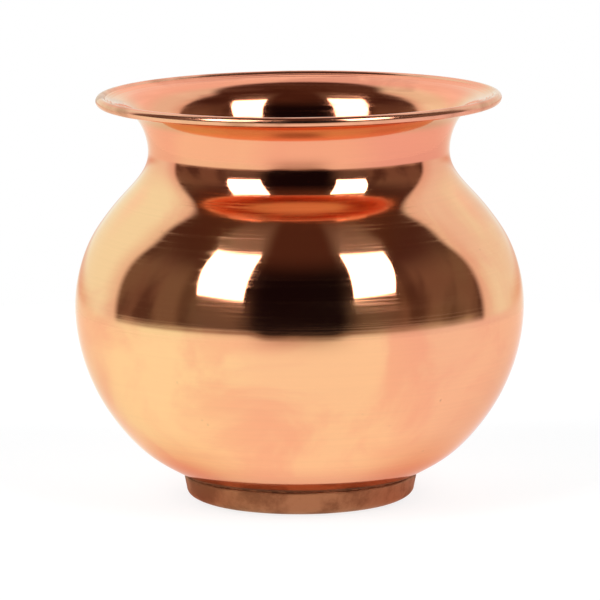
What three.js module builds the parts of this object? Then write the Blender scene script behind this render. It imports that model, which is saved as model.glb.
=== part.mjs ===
// A small copper kalash (lota): a water pot spun from one sheet of copper, with a rolled and
// wired lip, standing on a separate foot ring that is brazed on.
//
// Millimetres, +Z up. The origin is the centre of the foot's resting face, on the pot's axis.
// Every piece is a solid of revolution about that axis, made by turning a closed section.

import * as THREE from 'three';

// ---- Driving dimensions (mm) ----

const SHEET = 0.6; // thickness of the body's sheet
const LIP_RING_RADIUS = 46.1; // from the pot's axis to the middle of the rolled bead
const LIP_RING_HEIGHT = 94.3; // of the middle of the bead above the table
const BEAD_RADIUS = 1.2; // outside radius of the rolled bead
const WIRE_RADIUS = 0.42; // of the wire that the lip is rolled over
const CURL_FROM = 142; // degrees round the bead where the sheet meets it, 90 being its top
const CURL_TO = -135; // degrees where the rolled edge ends, tucked under the flare

const FOOT_SHEET = 0.9; // thickness of the foot ring
const FOOT_TOP_RADIUS = 27.3; // outside, under the bowl
const FOOT_SIDE_RADIUS = 26.7; // outside, where the side turns in
const FOOT_TURN_WIDTH = 5.3; // how far the rounded lower edge turns in
const FOOT_TURN_HEIGHT = 2.7; // how high the rounded lower edge is
const FOOT_FLANGE_RADIUS = 17; // inner edge of the turned-in flange
const FOOT_TOP_HEIGHT = 5.35; // top edge of the foot ring, just clear of the bowl

const BRAZE_GAP = 0.3; // between the filler and the pieces that it fastens
const BRAZE_LEG = 1.7; // how far the filler reaches along each of them
const BRAZE_THROAT = 0.85; // how far its hollow face stands from the corner

const TURN_SEGMENTS = 48; // facets round the axis
const SPAN_STEPS = 2; // facets along each span of the body's curve
const CURL_STEPS = 9;
const FOOT_TURN_STEPS = 5;
const WIRE_SIDES = 8;

// The middle of the sheet, as the control points of one smooth curve: [radius, height] from the
// axis at the bottom, out round the bowl and the belly, in to the neck and out along the flare.
const BODY_CONTROLS = [
  [0, 3.9],
  [10.5, 3.8],
  [22.3, 3.9],
  [30.4, 8.1],
  [37.2, 12.0],
  [44.4, 20.5],
  [48.8, 28.3],
  [51.9, 38.0],
  [52.7, 49.2],
  [49.6, 60.0],
  [45.5, 65.9],
  [42.1, 70.2],
  [38.0, 74.3],
  [34.9, 78.7],
  [34.7, 84.0],
  [36.7, 89.9],
  [40.3, 93.0],
  [43.3, 94.0],
];

// ---- Curves and sections ----

const point = (radius, height) => new THREE.Vector2(radius, height);

function onCircle(centre, radius, degrees) {
  const angle = THREE.MathUtils.degToRad(degrees);
  return point(centre.x + radius * Math.cos(angle), centre.y + radius * Math.sin(angle));
}

// One point of a uniform cubic B-spline, a share u of the way along the span of four controls.
function splinePoint(controls, u) {
  const weights = [
    (1 - u) ** 3 / 6,
    (3 * u ** 3 - 6 * u ** 2 + 4) / 6,
    (-3 * u ** 3 + 3 * u ** 2 + 3 * u + 1) / 6,
    u ** 3 / 6,
  ];
  const sum = point(0, 0);
  controls.forEach((control, i) => sum.addScaledVector(control, weights[i]));
  return sum;
}

// The curve through a list of controls, level where it leaves the axis and ending on the last one.
function smoothCurve(controls, steps) {
  const mirrored = point(-controls[1].x, controls[1].y);
  const last = controls.at(-1);
  const beyond = last.clone().multiplyScalar(2).sub(controls.at(-2));
  const all = [mirrored, ...controls, beyond];
  const points = [];
  for (let span = 0; span + 3 < all.length; span += 1) {
    for (let step = 0; step < steps; step += 1) {
      points.push(splinePoint(all.slice(span, span + 4), step / steps));
    }
  }
  return [...points, last.clone()];
}

function arc(centre, radiusX, radiusY, fromDegrees, toDegrees, steps) {
  const points = [];
  for (let step = 0; step <= steps; step += 1) {
    const angle = THREE.MathUtils.degToRad(fromDegrees + ((toDegrees - fromDegrees) * step) / steps);
    points.push(point(centre.x + radiusX * Math.cos(angle), centre.y + radiusY * Math.sin(angle)));
  }
  return points;
}

// The direction that faces right when walking along a line of points, at its i-th point.
function rightOf(line, i) {
  const before = line[Math.max(i - 1, 0)];
  const after = line[Math.min(i + 1, line.length - 1)];
  const along = after.clone().sub(before).normalize();
  return point(along.y, -along.x);
}

// The closed outline of a sheet whose middle is a line of points: out along its right-hand face
// and back along its left-hand face. A line that starts on the axis gives faces that start there.
function sheetSection(line, thickness) {
  const face = (side) => line.map((p, i) => {
    const normal = i === 0 && p.x === 0 ? point(0, -1) : rightOf(line, i);
    return p.clone().addScaledVector(normal, side * thickness / 2);
  });
  return [...face(1), ...face(-1).reverse()];
}

function turned(name, section, material) {
  const onAxis = section[0].x === 0;
  const profile = onAxis ? section : [...section, section[0].clone()];
  const geometry = new THREE.LatheGeometry(profile, TURN_SEGMENTS);
  geometry.rotateX(Math.PI / 2);
  const mesh = new THREE.Mesh(geometry, material);
  mesh.name = name;
  return mesh;
}

// ---- Materials ----

function polishedCopper() {
  return new THREE.MeshStandardMaterial({ color: 0xe59a72, roughness: 0.08, metalness: 1 });
}

function unpolishedCopper() {
  return new THREE.MeshStandardMaterial({ color: 0x9c5c3e, roughness: 0.55, metalness: 1 });
}

function drawnWire() {
  return new THREE.MeshStandardMaterial({ color: 0xb87350, roughness: 0.35, metalness: 1 });
}

function brazeFiller() {
  return new THREE.MeshStandardMaterial({ color: 0x6a3a22, roughness: 0.6, metalness: 1 });
}

// ---- Pieces ----

const beadCentre = point(LIP_RING_RADIUS, LIP_RING_HEIGHT);

// The sheet runs up the flare into the bead, and rolls over the wire until it tucks under itself.
function bodyShell() {
  const curlRadius = BEAD_RADIUS - SHEET / 2;
  const curl = arc(beadCentre, curlRadius, curlRadius, CURL_FROM, CURL_TO, CURL_STEPS);
  const intoCurl = point(curl[0].y - beadCentre.y, beadCentre.x - curl[0].x);
  const beforeCurl = curl[0].clone().sub(intoCurl);
  const controls = BODY_CONTROLS.map(([radius, height]) => point(radius, height));
  const middle = smoothCurve([...controls, beforeCurl, curl[0]], SPAN_STEPS);
  return turned('body_shell', sheetSection([...middle, ...curl.slice(1)], SHEET), polishedCopper());
}

function rimWire() {
  const section = arc(beadCentre, WIRE_RADIUS, WIRE_RADIUS, 0, 360, WIRE_SIDES).slice(0, -1);
  return turned('rim_wire', section, drawnWire());
}

// A pressed ring: an upright side that leans in a little, a rounded lower edge, a flat flange.
function footRing() {
  const half = FOOT_SHEET / 2;
  const turnWidth = FOOT_TURN_WIDTH - half;
  const turnHeight = FOOT_TURN_HEIGHT - half;
  const turnCentre = point(FOOT_SIDE_RADIUS - FOOT_TURN_WIDTH, FOOT_TURN_HEIGHT);
  const middle = [
    point(FOOT_FLANGE_RADIUS, half),
    ...arc(turnCentre, turnWidth, turnHeight, -90, 0, FOOT_TURN_STEPS),
    point(FOOT_TOP_RADIUS - half, FOOT_TOP_HEIGHT),
  ];
  return turned('foot_ring', sheetSection(middle, FOOT_SHEET), unpolishedCopper());
}

// The fillet of filler in the corner between the bowl's underside and the foot ring's inside.
function footBraze() {
  const corner = point(FOOT_TOP_RADIUS - FOOT_SHEET - BRAZE_GAP, FOOT_TOP_HEIGHT - BRAZE_GAP / 2);
  const section = [
    corner,
    onCircle(corner, BRAZE_LEG, 198),
    onCircle(corner, BRAZE_THROAT, 228),
    onCircle(corner, BRAZE_LEG, 258),
  ];
  return turned('foot_braze', section, brazeFiller());
}

const kalash = new THREE.Group();
kalash.add(bodyShell(), rimWire(), footRing(), footBraze());

export default kalash;
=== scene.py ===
"""Looks of a small copper kalash pot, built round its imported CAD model.

The pot is spun from one sheet of copper, with a rolled lip, and polished to a mirror. It stands on a
separate ring of unpolished copper. Metres, +Z up, the front facing -Y.
"""

import math

import bpy
import numpy as np
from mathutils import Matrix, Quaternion, Vector


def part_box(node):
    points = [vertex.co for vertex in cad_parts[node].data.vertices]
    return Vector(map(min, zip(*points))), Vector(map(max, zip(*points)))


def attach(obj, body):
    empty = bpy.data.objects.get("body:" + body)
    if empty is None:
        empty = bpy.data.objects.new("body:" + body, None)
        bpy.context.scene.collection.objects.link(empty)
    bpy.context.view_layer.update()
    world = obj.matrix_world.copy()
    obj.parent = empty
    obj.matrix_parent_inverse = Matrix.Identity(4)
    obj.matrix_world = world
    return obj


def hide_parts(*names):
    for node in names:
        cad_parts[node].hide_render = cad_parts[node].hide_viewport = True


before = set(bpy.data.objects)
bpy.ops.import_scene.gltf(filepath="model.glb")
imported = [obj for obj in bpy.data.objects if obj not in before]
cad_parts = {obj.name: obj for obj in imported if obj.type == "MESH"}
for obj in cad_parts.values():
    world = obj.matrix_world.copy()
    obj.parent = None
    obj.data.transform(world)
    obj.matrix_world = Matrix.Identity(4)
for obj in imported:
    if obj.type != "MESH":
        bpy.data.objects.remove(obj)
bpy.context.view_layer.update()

MM = 0.001

# ---- Sizes, from the CAD model ----

_, shell_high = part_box("body_shell")
wire_low, wire_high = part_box("rim_wire")
_, foot_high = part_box("foot_ring")
braze_low, braze_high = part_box("foot_braze")

BELLY_RADIUS = shell_high.x
POT_HEIGHT = shell_high.z
WIRE_RADIUS = (wire_high.z - wire_low.z) / 2
BEAD_CENTRE = (wire_high.x - WIRE_RADIUS, wire_low.z + WIRE_RADIUS)
BEAD_RADIUS = POT_HEIGHT - BEAD_CENTRE[1]
FOOT_TOP_RADIUS = foot_high.x

SHEET = 0.6 * MM  # thickness of the body's sheet
CURL_FROM = 142  # degrees round the bead where the sheet meets it, 90 being its top
CURL_TO = -135  # degrees where the rolled edge ends, tucked under the flare

# The middle of the body's sheet, as the control points of one smooth curve: radius and height in mm.
BODY_CONTROLS = [
    (0, 3.9), (10.5, 3.8), (22.3, 3.9), (30.4, 8.1), (37.2, 12.0), (44.4, 20.5), (48.8, 28.3),
    (51.9, 38.0), (52.7, 49.2), (49.6, 60.0), (45.5, 65.9), (42.1, 70.2), (38.0, 74.3),
    (34.9, 78.7), (34.7, 84.0), (36.7, 89.9), (40.3, 93.0), (43.3, 94.0),
]

SHELL_TURN = 256  # facets round the pot
OUTSIDE_STEPS = (2, 3, 4, 6, 6, 6, 6, 7, 7, 7, 7, 8, 8, 8, 8, 8, 10, 10, 8)  # facets along each span
INSIDE_STEPS = (2, 2, 3, 4, 4, 4, 4, 4, 4, 4, 5, 5, 6, 6, 8, 14, 22, 22, 10)
CURL_STEPS = 24

LIP_ABOVE = 90 * MM  # height over which the inside counts as the lip
FLUSH = (42.6 * MM, 46.0 * MM)  # radii between which the inside is dressed flush with the bead
FLUSH_SLOPE = 0.24  # of the dressed face where it leaves the flare
GROOVES = ((45.0, 0.06), (44.4, 0.035), (43.6, 0.04), (42.4, 0.02))  # inside the lip: radius, depth, mm
GROOVE_WIDTH = 0.16 * MM

DENT = 0.03 * MM  # how far the beaten and turned sheet strays from a true round
WAVES = ((2, 5, 0.4), (3, 9, 2.1), (5, 14, 4.0), (7, 21, 1.2))  # round the pot, up it, phase
RIM_TILT = 0.5 * MM  # how much lower the rim is on its left than on its right
TILT_FROM = 0.8  # share of the pot's height where the tilt starts

FOOT_TURN_FACETS = 192
FOOT_SHEET = 0.9 * MM
FOOT_TURN = (5.3 * MM, 2.7 * MM)  # how far the rounded lower edge turns in, and how high it is
FOOT_SIDE_RADIUS = 26.7 * MM
FOOT_FLANGE_RADIUS = 17 * MM
FOOT_EDGE_HEIGHT = 6.08 * MM  # the ring's top edge, against the bowl
FOOT_DENT = 0.05 * MM
SEAM_RADIUS = 0.24 * MM  # of the filler that shows over the foot's top edge
SEAM_PLACE = (FOOT_TOP_RADIUS - 0.3 * MM, FOOT_EDGE_HEIGHT + 0.06 * MM)

# ---- Node trees ----


class Nodes:
    """Adds nodes to a tree and gives back their outputs, so that a tree reads like a sum."""

    def __init__(self, tree):
        tree.nodes.clear()
        self.tree = tree

    def plug(self, socket, value):
        if isinstance(value, bpy.types.NodeSocket):
            self.tree.links.new(value, socket)
        else:
            socket.default_value = value

    def node(self, kind, inputs=None, **settings):
        node = self.tree.nodes.new(kind)
        for name, value in settings.items():
            setattr(node, name, value)
        for name, value in (inputs or {}).items():
            self.plug(node.inputs[name], value)
        return node

    def math(self, operation, *values):
        node = self.node("ShaderNodeMath", operation=operation)
        for socket, value in zip(node.inputs, values):
            self.plug(socket, value)
        return node.outputs[0]

    def times(self, *values):
        product = values[0]
        for value in values[1:]:
            product = self.math("MULTIPLY", product, value)
        return product

    def ramp(self, value, start, end, low=0.0, high=1.0, kind="SMOOTHSTEP"):
        """low at start, high at end, with a smooth rise between them; it runs back if end < start."""
        return self.node("ShaderNodeMapRange", {
            "Value": value, "From Min": start, "From Max": end, "To Min": low, "To Max": high,
        }, interpolation_type=kind).outputs[0]

    def mix(self, share, first, second):
        return self.node("ShaderNodeMix", {0: share, 6: first, 7: second}, data_type="RGBA").outputs[2]

    def noise(self, place, scale, detail, **more):
        inputs = {"Vector": place, "Scale": scale, "Detail": detail}
        inputs.update({name.capitalize(): value for name, value in more.items()})
        kind = {"noise_dimensions": "4D"} if "w" in more else {}
        return self.node("ShaderNodeTexNoise", inputs, **kind).outputs["Fac"]

    def xyz(self, vector):
        node = self.node("ShaderNodeSeparateXYZ", {0: vector})
        return node.outputs[0], node.outputs[1], node.outputs[2]

    def vector(self, x, y, z):
        return self.node("ShaderNodeCombineXYZ", {0: x, 1: y, 2: z}).outputs[0]

    def place(self):
        return self.node("ShaderNodeTexCoord").outputs["Object"]

    def radius(self, x, y):
        return self.math("SQRT", self.math("ADD", self.times(x, x), self.times(y, y)))

    def azimuth(self, x, y):
        """Degrees round the pot: 0 in front, and counting to the right."""
        return self.math("DEGREES", self.math("ARCTAN2", x, self.times(y, -1.0)))

    def seen_by_camera(self):
        return self.node("ShaderNodeLightPath").outputs["Is Camera Ray"]


def rgb(red, green, blue):
    return (red, green, blue, 1.0)


# ---- Studio: azimuths and elevations are in degrees, as seen from the pot ----

WHITE = rgb(1.0, 1.0, 1.0)
TABLE_LEFT = rgb(1.03, 1.36, 1.24)
TABLE_FRONT = rgb(1.0, 1.15, 1.14)
TABLE_RIGHT = rgb(0.93, 0.92, 1.05)
TABLE_SHADE_BY_FOOT = rgb(0.86, 0.64, 0.58)  # painted shade, with pink painted bounce light, on the table beside the foot
EDGE_SHADE = 0.65  # how dim the table's front edge is
BACKDROP_LEFT = rgb(0.97, 1.34, 1.35)
BACKDROP_RIGHT = rgb(0.93, 1.18, 1.26)
BACKDROP_EDGE = rgb(0.86, 0.88, 0.90)
BACKDROP_LOW = rgb(0.86, 0.74, 0.66)
BACKDROP_HIGH = rgb(1.06, 1.08, 1.22)
HORIZON = rgb(0.33, 0.30, 0.26)
HORIZON_DARK = rgb(0.22, 0.19, 0.16)
HORIZON_LIGHT = rgb(0.40, 0.39, 0.33)
ROOM_SIDE = rgb(0.19, 0.15, 0.119)
ROOM_SIDE_HIGH = rgb(0.07, 0.036, 0.034)
ROOM_DARK = rgb(0.07, 0.04, 0.032)
ROOM_CENTRE = rgb(0.008, 0.005, 0.007)
CEILING = rgb(0.08, 0.042, 0.03)
SOFTBOX = rgb(7.0, 7.0, 7.0)
GLOW_ABOVE = rgb(0.29, 0.30, 0.28)
GLOW_BELOW = rgb(0.15, 0.14, 0.12)

# Each light: azimuths of its inner and outer edge, low and high; its bottom; its top's inner and outer end.
BOX_LOW, BOX_HIGH = 18, 55  # elevations at which the edges' azimuths are given
LEFT_BOX = {"inner": (30, 30), "outer": (56, 66), "bottom": 19, "top": (57.5, 53)}
RIGHT_BOX = {"inner": (29, 32), "outer": (51.5, 66), "bottom": 20.5, "top": (57, 51)}
SHARP, HAZY = 0.4, 9.0  # half the width of a light's edge, and of the edge of the glow round it

TABLE_EDGE = (-9.5, -6.5)  # elevation of the table's far edge, in front and at the sides
FLOOR_RADIUS = 0.3
FLOOR_GLOW = 0.8


def table_light(t, azimuth, shaded):
    """The pale table's light: warm on the left, a little pink and dim on the right, dark where shaded."""
    to_right = t.times(t.ramp(azimuth, 28, 75), t.ramp(azimuth, 178, 125))
    to_left = t.times(t.ramp(azimuth, -12, -45), t.ramp(azimuth, -118, -92))
    light = t.mix(to_left, t.mix(to_right, TABLE_FRONT, TABLE_RIGHT), TABLE_LEFT)
    in_front = t.ramp(t.math("ABSOLUTE", azimuth), 32, 6)
    return t.mix(t.times(in_front, shaded, EDGE_SHADE), light, HORIZON)


def softbox(t, azimuth, elevation, inner, outer, bottom, top):
    """Shares for a four-sided light: inside it, in the glow over it, in the glow under it. azimuth
    counts outwards from the front."""
    rise = t.ramp(elevation, BOX_LOW, BOX_HIGH, kind="LINEAR")
    from_inner = t.math("SUBTRACT", azimuth, t.ramp(rise, 0, 1, *inner, kind="LINEAR"))
    to_outer = t.math("SUBTRACT", t.ramp(rise, 0, 1, *outer, kind="LINEAR"), azimuth)
    across = t.ramp(azimuth, inner[1], outer[1], kind="LINEAR")
    over_top = t.math("SUBTRACT", elevation, t.ramp(across, 0, 1, *top, kind="LINEAR"))
    inside = t.times(
        t.ramp(from_inner, -SHARP, SHARP), t.ramp(to_outer, -SHARP, SHARP),
        t.ramp(elevation, bottom - SHARP, bottom + SHARP), t.ramp(over_top, SHARP, -SHARP),
    )
    column = t.times(t.ramp(from_inner, -HAZY, HAZY), t.ramp(to_outer, -HAZY, HAZY))
    over = t.times(column, t.ramp(over_top, 26, -4), t.ramp(elevation, 40, 56))
    under = t.times(column, t.ramp(elevation, 30, 12))
    return inside, over, under


def room_light(t, azimuth, aside, elevation):
    """The dark room in front of the pot, with folds at its sides and two lights in it."""
    side = t.mix(t.ramp(elevation, 22, 50), ROOM_SIDE, ROOM_SIDE_HIGH)
    slanted = t.math("ADD", azimuth, t.times(elevation, -0.35))
    folds = t.noise(t.vector(t.times(slanted, 0.05), t.times(elevation, 0.02), 3.0), 1.0, 2.0)
    side = t.mix(t.times(t.ramp(folds, 0.6, 0.36), 0.75), side, ROOM_DARK)
    strip = t.times(t.ramp(aside, 55, 60), t.ramp(aside, 69, 62))
    side = t.mix(t.times(strip, 0.6), side, ROOM_DARK)
    room = t.mix(t.ramp(aside, 18, 60), ROOM_CENTRE, side)
    room = t.mix(t.ramp(elevation, 34, 62), room, CEILING)
    boxes = (
        softbox(t, t.times(azimuth, -1.0), elevation, **LEFT_BOX),
        softbox(t, azimuth, elevation, **RIGHT_BOX),
    )
    inside, over, under = (t.math("ADD", left, right) for left, right in zip(*boxes))
    room = t.mix(under, t.mix(over, room, GLOW_ABOVE), GLOW_BELOW)
    return t.mix(inside, room, SOFTBOX)


def backdrop_light(t, x, aside, elevation):
    """The white sheet round the back."""
    backdrop = t.mix(t.ramp(x, -0.4, 0.4), BACKDROP_LEFT, BACKDROP_RIGHT)
    backdrop = t.mix(t.ramp(aside, 106, 126), BACKDROP_EDGE, backdrop)
    low = t.times(t.ramp(aside, 126, 156), t.ramp(elevation, 1, -5))
    high = t.times(t.ramp(aside, 136, 158), t.ramp(elevation, 10, 24))
    return t.mix(high, t.mix(low, backdrop, BACKDROP_LOW), BACKDROP_HIGH)


def studio_world():
    world = bpy.data.worlds.new("studio")
    bpy.context.scene.world = world
    world.use_nodes = True
    t = Nodes(world.node_tree)
    x, y, z = t.xyz(t.node("ShaderNodeTexCoord").outputs["Generated"])
    azimuth = t.azimuth(x, y)
    aside = t.math("ABSOLUTE", azimuth)
    elevation = t.math("DEGREES", t.math("ARCSINE", z))

    room = room_light(t, azimuth, aside, elevation)
    behind = t.times(t.ramp(aside, 105, 111), t.ramp(elevation, 63, 57))
    upper = t.mix(behind, room, backdrop_light(t, x, aside, elevation))
    above = t.math("SUBTRACT", elevation, t.ramp(aside, 15, 28, *TABLE_EDGE))
    clutter = t.noise(t.vector(t.times(azimuth, 0.05), t.times(elevation, 0.05), 7.0), 1.0, 1.0)
    band = t.mix(t.ramp(clutter, 0.4, 0.6), HORIZON_DARK, HORIZON_LIGHT)
    upper = t.mix(t.times(t.ramp(above, 4.2, 2.6), t.ramp(aside, 108, 100)), upper, band)
    table = table_light(t, azimuth, t.ramp(above, -15, -1))
    colour = t.mix(t.ramp(above, -1.5, 1.5), table, upper)
    colour = t.mix(t.seen_by_camera(), colour, WHITE)
    background = t.node("ShaderNodeBackground", {"Color": colour, "Strength": 1.0})
    t.node("ShaderNodeOutputWorld", {"Surface": background.outputs[0]})
    world.cycles.sampling_method = "MANUAL"
    world.cycles.sample_map_resolution = 1024


def floor():
    """A pale disc that glows a little, and shows reflections the table's painted light and shade, with
    painted shade beside the foot.
    """
    bpy.ops.mesh.primitive_circle_add(vertices=96, radius=FLOOR_RADIUS, fill_type="NGON")
    disc = bpy.context.object
    disc.name = "floor"
    material, t = new_material("floor_white")
    x, y, _ = t.xyz(t.place())
    azimuth, radius = t.azimuth(x, y), t.radius(x, y)
    table = table_light(t, azimuth, t.ramp(radius, 0.13, 0.30))
    # painted shade: the table beside the foot, where the pot shades it, is made darker and pinker
    near = t.times(t.ramp(radius, 0.055, 0.029), t.ramp(t.math("ABSOLUTE", azimuth), 15, 72))
    table = t.mix(near, table, TABLE_SHADE_BY_FOOT)
    colour = t.mix(t.seen_by_camera(), table, WHITE)
    matt = t.node("ShaderNodeBsdfDiffuse", {"Color": rgb(0.25, 0.25, 0.25)})
    glow = t.node("ShaderNodeEmission", {"Color": colour, "Strength": FLOOR_GLOW})
    both = t.node("ShaderNodeAddShader", {0: matt.outputs[0], 1: glow.outputs[0]})
    t.node("ShaderNodeOutputMaterial", {"Surface": both.outputs[0]})
    disc.data.materials.append(material)


CAMERA_DISTANCE = 1.3035
CAMERA_ELEVATION = math.radians(8.92)
CAMERA_AIM = Vector((0.0001, 0, 0.0466))
CAMERA_ROLL = math.radians(-0.27)
CAMERA_LENS = 334.7


def camera():
    data = bpy.data.cameras.new("camera")
    data.lens = CAMERA_LENS
    data.sensor_width = 36
    data.clip_start = 0.05
    data.clip_end = 20
    cam = bpy.data.objects.new("camera", data)
    bpy.context.scene.collection.objects.link(cam)
    back = Vector((0, -math.cos(CAMERA_ELEVATION), math.sin(CAMERA_ELEVATION)))
    cam.location = CAMERA_AIM + back * CAMERA_DISTANCE
    cam.rotation_mode = "QUATERNION"
    cam.rotation_quaternion = (-back).to_track_quat("-Z", "Y") @ Quaternion((0, 0, 1), CAMERA_ROLL)
    bpy.context.scene.camera = cam


# ---- Profiles: lines of points (radius, height) in metres ----


def smooth_curve(controls, steps):
    """A uniform cubic B-spline, level where it leaves the axis and ending on the last control."""
    controls = np.array(controls, float)
    first = controls[1] * (-1, 1)
    beyond = 2 * controls[-1] - controls[-2]
    c = np.vstack([first, controls, beyond])
    spans = []
    for i, count in zip(range(len(c) - 3), steps, strict=True):
        u = np.linspace(0, 1, count, endpoint=False)[:, None]
        spans.append((
            (1 - u) ** 3 * c[i] + (3 * u**3 - 6 * u**2 + 4) * c[i + 1]
            + (-3 * u**3 + 3 * u**2 + 3 * u + 1) * c[i + 2] + u**3 * c[i + 3]
        ) / 6)
    return np.vstack(spans + [controls[-1:]])


def arc(centre, radius, start, end, steps):
    angle = np.radians(np.linspace(start, end, steps + 1))
    return np.array(centre) + np.stack([np.cos(angle), np.sin(angle)], 1) * radius


def body_middle(steps):
    """The middle of the body's sheet, from the axis at the bottom to the end of the rolled edge."""
    curl = arc(BEAD_CENTRE, BEAD_RADIUS - SHEET / 2, CURL_FROM, CURL_TO, CURL_STEPS)
    into_curl = np.array([curl[0, 1] - BEAD_CENTRE[1], BEAD_CENTRE[0] - curl[0, 0]])
    controls = np.vstack([np.array(BODY_CONTROLS) * MM, [curl[0] - into_curl], [curl[0]]])
    return np.vstack([smooth_curve(controls, steps), curl[1:]])


def faces_of(middle, thickness):
    """The right-hand and left-hand faces of a sheet with that middle."""
    along = np.gradient(middle, axis=0)
    along[0] = (1, 0) if middle[0, 0] == 0 else along[0]
    along /= np.linalg.norm(along, axis=1)[:, None]
    right = np.stack([along[:, 1], -along[:, 0]], 1)
    return middle + right * thickness / 2, middle - right * thickness / 2


def dressed(face):
    """The inside face, made flush with the bead and with shallow turned rings cut in it."""
    cut = face.copy()
    radius, height = face.T
    start, end = FLUSH
    at_lip = height > LIP_ABOVE
    near = at_lip & (radius > start) & (radius < end)
    first = face[at_lip & (radius <= start)][-1]
    width = end - first[0]
    share = (radius[near] - first[0]) / width
    climb = height[radius > end].max() - first[1]
    flush = first[1] + width * FLUSH_SLOPE * share + (climb - width * FLUSH_SLOPE) * share**2
    cut[near, 1] = np.maximum(height[near], flush)
    for ring, depth in GROOVES:
        cut[:, 1] -= np.exp(-(((radius - ring * MM) / GROOVE_WIDTH) ** 2)) * at_lip * depth * MM
    return cut


def foot_profile():
    half = FOOT_SHEET / 2
    turn_centre = (FOOT_SIDE_RADIUS - FOOT_TURN[0], FOOT_TURN[1])
    bend = arc(turn_centre, (FOOT_TURN[0] - half, FOOT_TURN[1] - half), -90, 0, 12)
    top = np.array([FOOT_TOP_RADIUS - half, FOOT_EDGE_HEIGHT - half])
    side = bend[-1] + (top - bend[-1]) * np.linspace(0, 1, 7)[1:, None]
    flange_end = np.array([FOOT_FLANGE_RADIUS + half, half])
    flange = np.linspace(flange_end, bend[0], 6)[:-1]
    outer, inner = faces_of(np.vstack([flange, bend, side]), FOOT_SHEET)
    top_edge = arc(top, half, 0, 180, 8)[1:-1]
    flange_edge = arc(flange_end, half, 90, 270, 8)[1:-1]
    return np.vstack([outer, top_edge, inner[::-1], flange_edge])


def fillet_profile():
    """The filler's hollow face, inside the corner between the bowl's underside and the foot ring."""
    corner = np.array([braze_high.x, braze_high.z])
    leg = braze_high.z - braze_low.z
    hollow = np.array([(0, 0), (0.97, 0.3), (0.55, 0.45), (0.3, 0.75), (0.2, 1)])
    return corner - leg * hollow


# ---- Hand work: small changes to the points of a turned mesh ----


def hand_made(points):
    """The slight waves of a hand-finished sheet, and a rim that is a little lower on its left."""
    x, y, z = points.T
    angle = np.arctan2(y, x)
    wave = sum(np.sin(around * angle + up * z / POT_HEIGHT + phase) for around, up, phase in WAVES)
    wave = wave / len(WAVES)
    outward = np.clip(np.hypot(x, y) / (0.5 * BELLY_RADIUS) - 0.8, 0, 1)
    grow = 1 - DENT * (1 - wave) / BELLY_RADIUS * outward
    up = np.clip((z / POT_HEIGHT - TILT_FROM) / (1 - TILT_FROM), 0, 1)
    drop = RIM_TILT * up**2 * (3 - 2 * up) * (1 - x / BEAD_CENTRE[0]) / 2
    return np.stack([x * grow, y * grow, z - np.clip(drop, 0, None)], 1)


def beaten(points):
    x, y, z = points.T
    angle = np.arctan2(y, x)
    wave = (np.sin(4 * angle + 1) + np.sin(9 * angle + 2.3) + 0.7 * np.sin(17 * angle + 0.4)) / 2.7
    grow = 1 - FOOT_DENT * (1 - wave) / FOOT_TOP_RADIUS
    up = np.clip(z / FOOT_EDGE_HEIGHT, 0, 1)
    return np.stack([x * grow, y * grow, z - FOOT_DENT * up * (1 + np.sin(11 * angle + 1.7))], 1)


def uneven(points):
    x, y, z = points.T
    angle = np.arctan2(y, x)
    wave = (np.sin(13 * angle) + np.sin(29 * angle + 1.1) + np.sin(47 * angle + 2.9)) / 3
    grow = 1 + 0.06 * MM * (wave - 1) / FOOT_TOP_RADIUS
    return np.stack([x * grow, y * grow, z + 0.04 * MM * wave], 1)


# ---- Turned meshes ----


def turned(name, profile, materials, zones=None, turn=SHELL_TURN, shape=None):
    """A mesh made by turning a closed profile about the axis. zones gives each span's material."""
    zones = zones or [0] * len(profile)
    angles = np.arange(turn) * 2 * math.pi / turn
    vertices, rows = [], []
    for radius, height in profile:
        first = len(vertices)
        if np.isclose(radius, 0):
            vertices.append((0.0, 0.0, height))
            rows.append([first] * turn)
        else:
            vertices += [(radius * math.sin(a), -radius * math.cos(a), height) for a in angles]
            rows.append(list(range(first, first + turn)))
    polygons, indices = [], []
    for low, high, zone in zip(rows, rows[1:] + rows[:1], zones):
        if low[0] == low[1] and high[0] == high[1]:
            continue
        for j in range(turn):
            k = (j + 1) % turn
            corners = [low[j], low[k], high[k], high[j]]
            polygons.append([c for n, c in enumerate(corners) if c not in corners[:n]])
            indices.append(zone)
    points = np.array(vertices)
    if shape:
        points = shape(points)
    mesh = bpy.data.meshes.new(name)
    mesh.from_pydata(points.tolist(), [], polygons)
    for material in materials:
        mesh.materials.append(material)
    mesh.polygons.foreach_set("material_index", indices)
    mesh.polygons.foreach_set("use_smooth", [True] * len(polygons))
    mesh.update()
    piece = bpy.data.objects.new(name, mesh)
    bpy.context.scene.collection.objects.link(piece)
    return piece


# ---- Materials ----

COPPER_PINK = rgb(0.92, 0.375, 0.205)
COPPER_YELLOW = rgb(0.95, 0.465, 0.24)
# painted shade: a rosier, darker copper for the neck under the lip and the bowl low down by the foot
COPPER_ROSE_SHADE = rgb(0.88, 0.31, 0.18)
COPPER_DULL = rgb(0.62, 0.26, 0.15)
EDGE_TINT = rgb(0.98, 0.82, 0.70)  # copper keeps some of its colour at a glancing angle


def new_material(name):
    material = bpy.data.materials.new(name)
    material.use_nodes = True
    return material, Nodes(material.node_tree)


def metal(t, inputs):
    """A bare metal; "Bump" is a pair of a height and how far it reaches."""
    height, distance = inputs.pop("Bump", (None, 0))
    if height:
        bump = {"Strength": 1.0, "Distance": distance, "Height": height}
        inputs["Normal"] = t.node("ShaderNodeBump", bump).outputs[0]
    shader = t.node("ShaderNodeBsdfPrincipled", {"Metallic": 1.0, "Specular Tint": EDGE_TINT, **inputs})
    t.node("ShaderNodeOutputMaterial", {"Surface": shader.outputs[0]})


def lathe_polish(t):
    """Inputs that draw a reflection out across the polishing lines, which run round the pot."""
    tangent = t.node("ShaderNodeTangent", direction_type="RADIAL", axis="Z").outputs[0]
    return {"Anisotropic": 0.9, "Anisotropic Rotation": 0.25, "Tangent": tangent}


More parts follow.
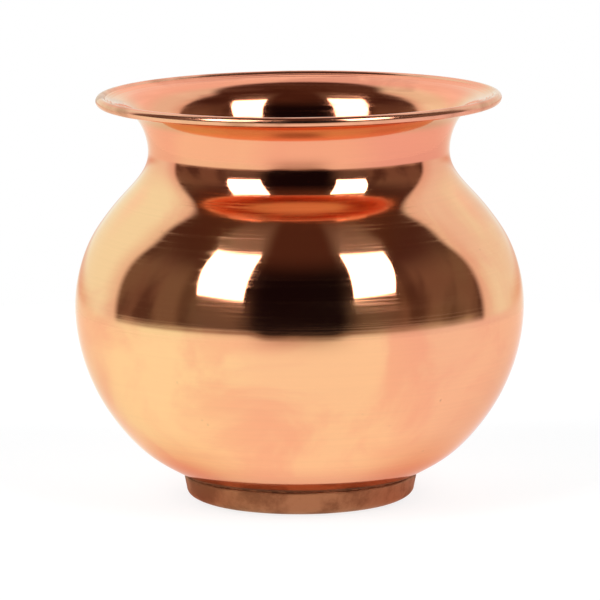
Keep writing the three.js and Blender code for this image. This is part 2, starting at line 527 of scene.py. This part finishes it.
def turning_noise(t, around, along, detail=2.0, roughness=0.5):
    """Noise stretched round the pot: around counts its changes in a radian, along in a metre."""
    x, y, z = t.xyz(t.place())
    radius = t.radius(x, y)
    safe = t.math("MAXIMUM", radius, 1e-5)
    cosine, sine = t.math("DIVIDE", x, safe), t.math("DIVIDE", y, safe)
    place = t.vector(t.times(cosine, around), t.times(sine, around), t.times(z, along))
    return t.noise(place, 1.0, detail, roughness=roughness, w=t.times(radius, along))


def polished_copper():
    """The outside: a mirror with faint polishing lines, patches of tone and a few specks, and painted shade
    at the neck, under the lip and low down by the foot.
    """
    material, t = new_material("polished_copper")
    place = t.place()
    _, _, z = t.xyz(place)
    patches = t.noise(place, 38.0, 5.0, roughness=0.55, distortion=0.6)
    specks = t.noise(place, 420.0, 2.0)
    lines = turning_noise(t, 0.9, 2300.0, detail=3.0, roughness=0.7)
    broad = turning_noise(t, 1.2, 260.0, detail=1.0)
    # painted shade: the neck under the flaring lip, and the bowl low down near the foot, are made rosier
    # and darker
    neck_shade = t.ramp(z, 74 * MM, 82 * MM)
    foot = t.ramp(z, 15 * MM, 8 * MM)
    colour = t.mix(t.ramp(patches, 0.38, 0.62), COPPER_PINK, COPPER_YELLOW)
    colour = t.mix(t.ramp(specks, 0.76, 0.84, 0.0, 0.7), colour, COPPER_DULL)
    colour = t.mix(t.times(t.math("MAXIMUM", neck_shade, foot), 0.9), colour, COPPER_ROSE_SHADE)
    # painted shade: a duller, darker band on the bowl just above the foot ring's top edge
    colour = t.mix(t.ramp(z, 8.2 * MM, 6.2 * MM), colour, rgb(0.70, 0.36, 0.26))
    # painted shade: darker copper on the flare's underside, just below the rolled bead
    colour = t.mix(t.ramp(z, 88.5 * MM, 91 * MM), colour, rgb(0.70, 0.34, 0.17))
    colour = t.mix(t.ramp(lines, 0.35, 0.65, 0.06, 0.0), colour, COPPER_DULL)
    rough = t.times(t.ramp(lines, 0.4, 0.66), t.ramp(broad, 0.3, 0.7, 0.45, 1.0))
    metal(t, {
        "Base Color": colour,
        "Roughness": t.ramp(rough, 0, 1, 0.05, 0.125),
        "Bump": (lines, 0.00025 * MM),
        **lathe_polish(t),
    })
    return material


def turned_copper():
    """The inside: bright, with plainer turning rings and stained patches."""
    material, t = new_material("turned_copper")
    rings = turning_noise(t, 0.8, 1500.0, detail=2.0, roughness=0.6)
    broad = turning_noise(t, 2.0, 330.0, detail=2.0)
    stain = t.noise(t.place(), 45.0, 4.0)
    stained = t.times(t.ramp(stain, 0.44, 0.58), t.ramp(broad, 0.42, 0.56))
    colour = t.mix(t.ramp(broad, 0.35, 0.65), rgb(0.86, 0.33, 0.18), rgb(0.93, 0.38, 0.21))
    metal(t, {
        "Base Color": t.mix(stained, colour, rgb(0.74, 0.27, 0.15)),
        "Roughness": t.ramp(rings, 0.3, 0.7, 0.07, 0.17),
        "Bump": (rings, 0.0015 * MM),
        **lathe_polish(t),
    })
    return material


def rolled_copper():
    """The rolled bead: less polished, with dull brown marks."""
    material, t = new_material("rolled_copper")
    marks = t.noise(t.place(), 90.0, 3.0)
    metal(t, {
        "Base Color": t.mix(t.ramp(marks, 0.45, 0.75), rgb(0.84, 0.36, 0.22), rgb(0.56, 0.23, 0.13)),
        "Roughness": t.ramp(marks, 0.4, 0.7, 0.14, 0.26),
        "Bump": (marks, 0.0005 * MM),
    })
    return material


def dull_copper(name, dark, light):
    """Unpolished copper, with patches of scale and a fine grain."""
    material, t = new_material(name)
    place = t.place()
    patches = t.noise(place, 130.0, 5.0, roughness=0.55)
    grain = t.noise(place, 1500.0, 2.0)
    tone = t.math("ADD", t.times(patches, 0.88), t.times(grain, 0.12))
    metal(t, {
        "Base Color": t.mix(t.ramp(tone, 0.38, 0.62), dark, light),
        "Roughness": t.ramp(tone, 0.35, 0.65, 0.6, 0.42),
        "Bump": (tone, 0.02 * MM),
    })
    return material


def braze_filler():
    material, t = new_material("braze_filler")
    lumps = t.noise(t.place(), 600.0, 3.0)
    metal(t, {
        "Base Color": t.mix(t.ramp(lumps, 0.4, 0.65), rgb(0.16, 0.055, 0.027), rgb(0.34, 0.12, 0.06)),
        "Roughness": 0.6,
        "Bump": (lumps, 0.05 * MM),
    })
    return material


def drawn_wire():
    material, t = new_material("drawn_wire")
    lines = turning_noise(t, 4.0, 4000.0)
    colour = t.mix(lines, rgb(0.6, 0.24, 0.12), rgb(0.75, 0.31, 0.17))
    metal(t, {"Base Color": colour, "Roughness": 0.35})
    return material


# ---- Pieces ----

MIRROR, TURNED, ROLLED, DULL = range(4)  # the body's materials


def add_piece(piece, slot, *nodes):
    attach(piece, "root")
    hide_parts(*nodes)


def body_zone(i, radius, height, bead_start, bead_end):
    """The material of the span that leaves the i-th point of the body's profile."""
    if i >= bead_end:
        return TURNED
    if i >= bead_start:
        return ROLLED
    under_foot = radius < FOOT_TOP_RADIUS - FOOT_SHEET and height < foot_high.z + 2 * MM
    return DULL if under_foot else MIRROR


def body_shell():
    outside, _ = faces_of(body_middle(OUTSIDE_STEPS), SHEET)
    _, inside = faces_of(body_middle(INSIDE_STEPS), SHEET)
    profile = np.vstack([outside, dressed(inside)[::-1]])
    profile[:, 0] *= BELLY_RADIUS / profile[:, 0].max()
    bead = len(outside) - CURL_STEPS - 2, len(outside) + CURL_STEPS + 2
    zones = [body_zone(i, radius, height, *bead) for i, (radius, height) in enumerate(profile)]
    bottom = dull_copper("dull_copper_bottom", rgb(0.20, 0.07, 0.035), rgb(0.38, 0.14, 0.07))
    materials = [polished_copper(), turned_copper(), rolled_copper(), bottom]
    piece = turned("pot_body", profile, materials, zones, shape=hand_made)
    add_piece(piece, "polished_copper", "body_shell")


def foot_ring():
    material = dull_copper("dull_copper_foot", rgb(0.27, 0.09, 0.042), rgb(0.40, 0.145, 0.07))
    piece = turned("pot_foot", foot_profile(), [material], turn=FOOT_TURN_FACETS, shape=beaten)
    add_piece(piece, "unpolished_copper", "foot_ring")


def rim_wire():
    profile = arc(BEAD_CENTRE, WIRE_RADIUS, 0, 360, 20)[:-1]
    piece = turned("pot_rim_wire", profile, [drawn_wire()], shape=hand_made)
    add_piece(piece, "wire", "rim_wire")


def foot_braze():
    """A fillet inside the foot, and the thin uneven line of filler that shows outside."""
    material = braze_filler()
    fillet = turned("pot_braze_fillet", fillet_profile(), [material], turn=128)
    add_piece(fillet, "braze", "foot_braze")
    line = arc(SEAM_PLACE, SEAM_RADIUS, 0, 360, 10)[:-1]
    seam = turned("pot_braze_line", line, [material], shape=uneven)
    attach(seam, "root")


def main():
    studio_world()
    floor()
    camera()
    body_shell()
    foot_ring()
    rim_wire()
    foot_braze()
    bpy.context.scene.view_settings.view_transform = "Standard"


main()
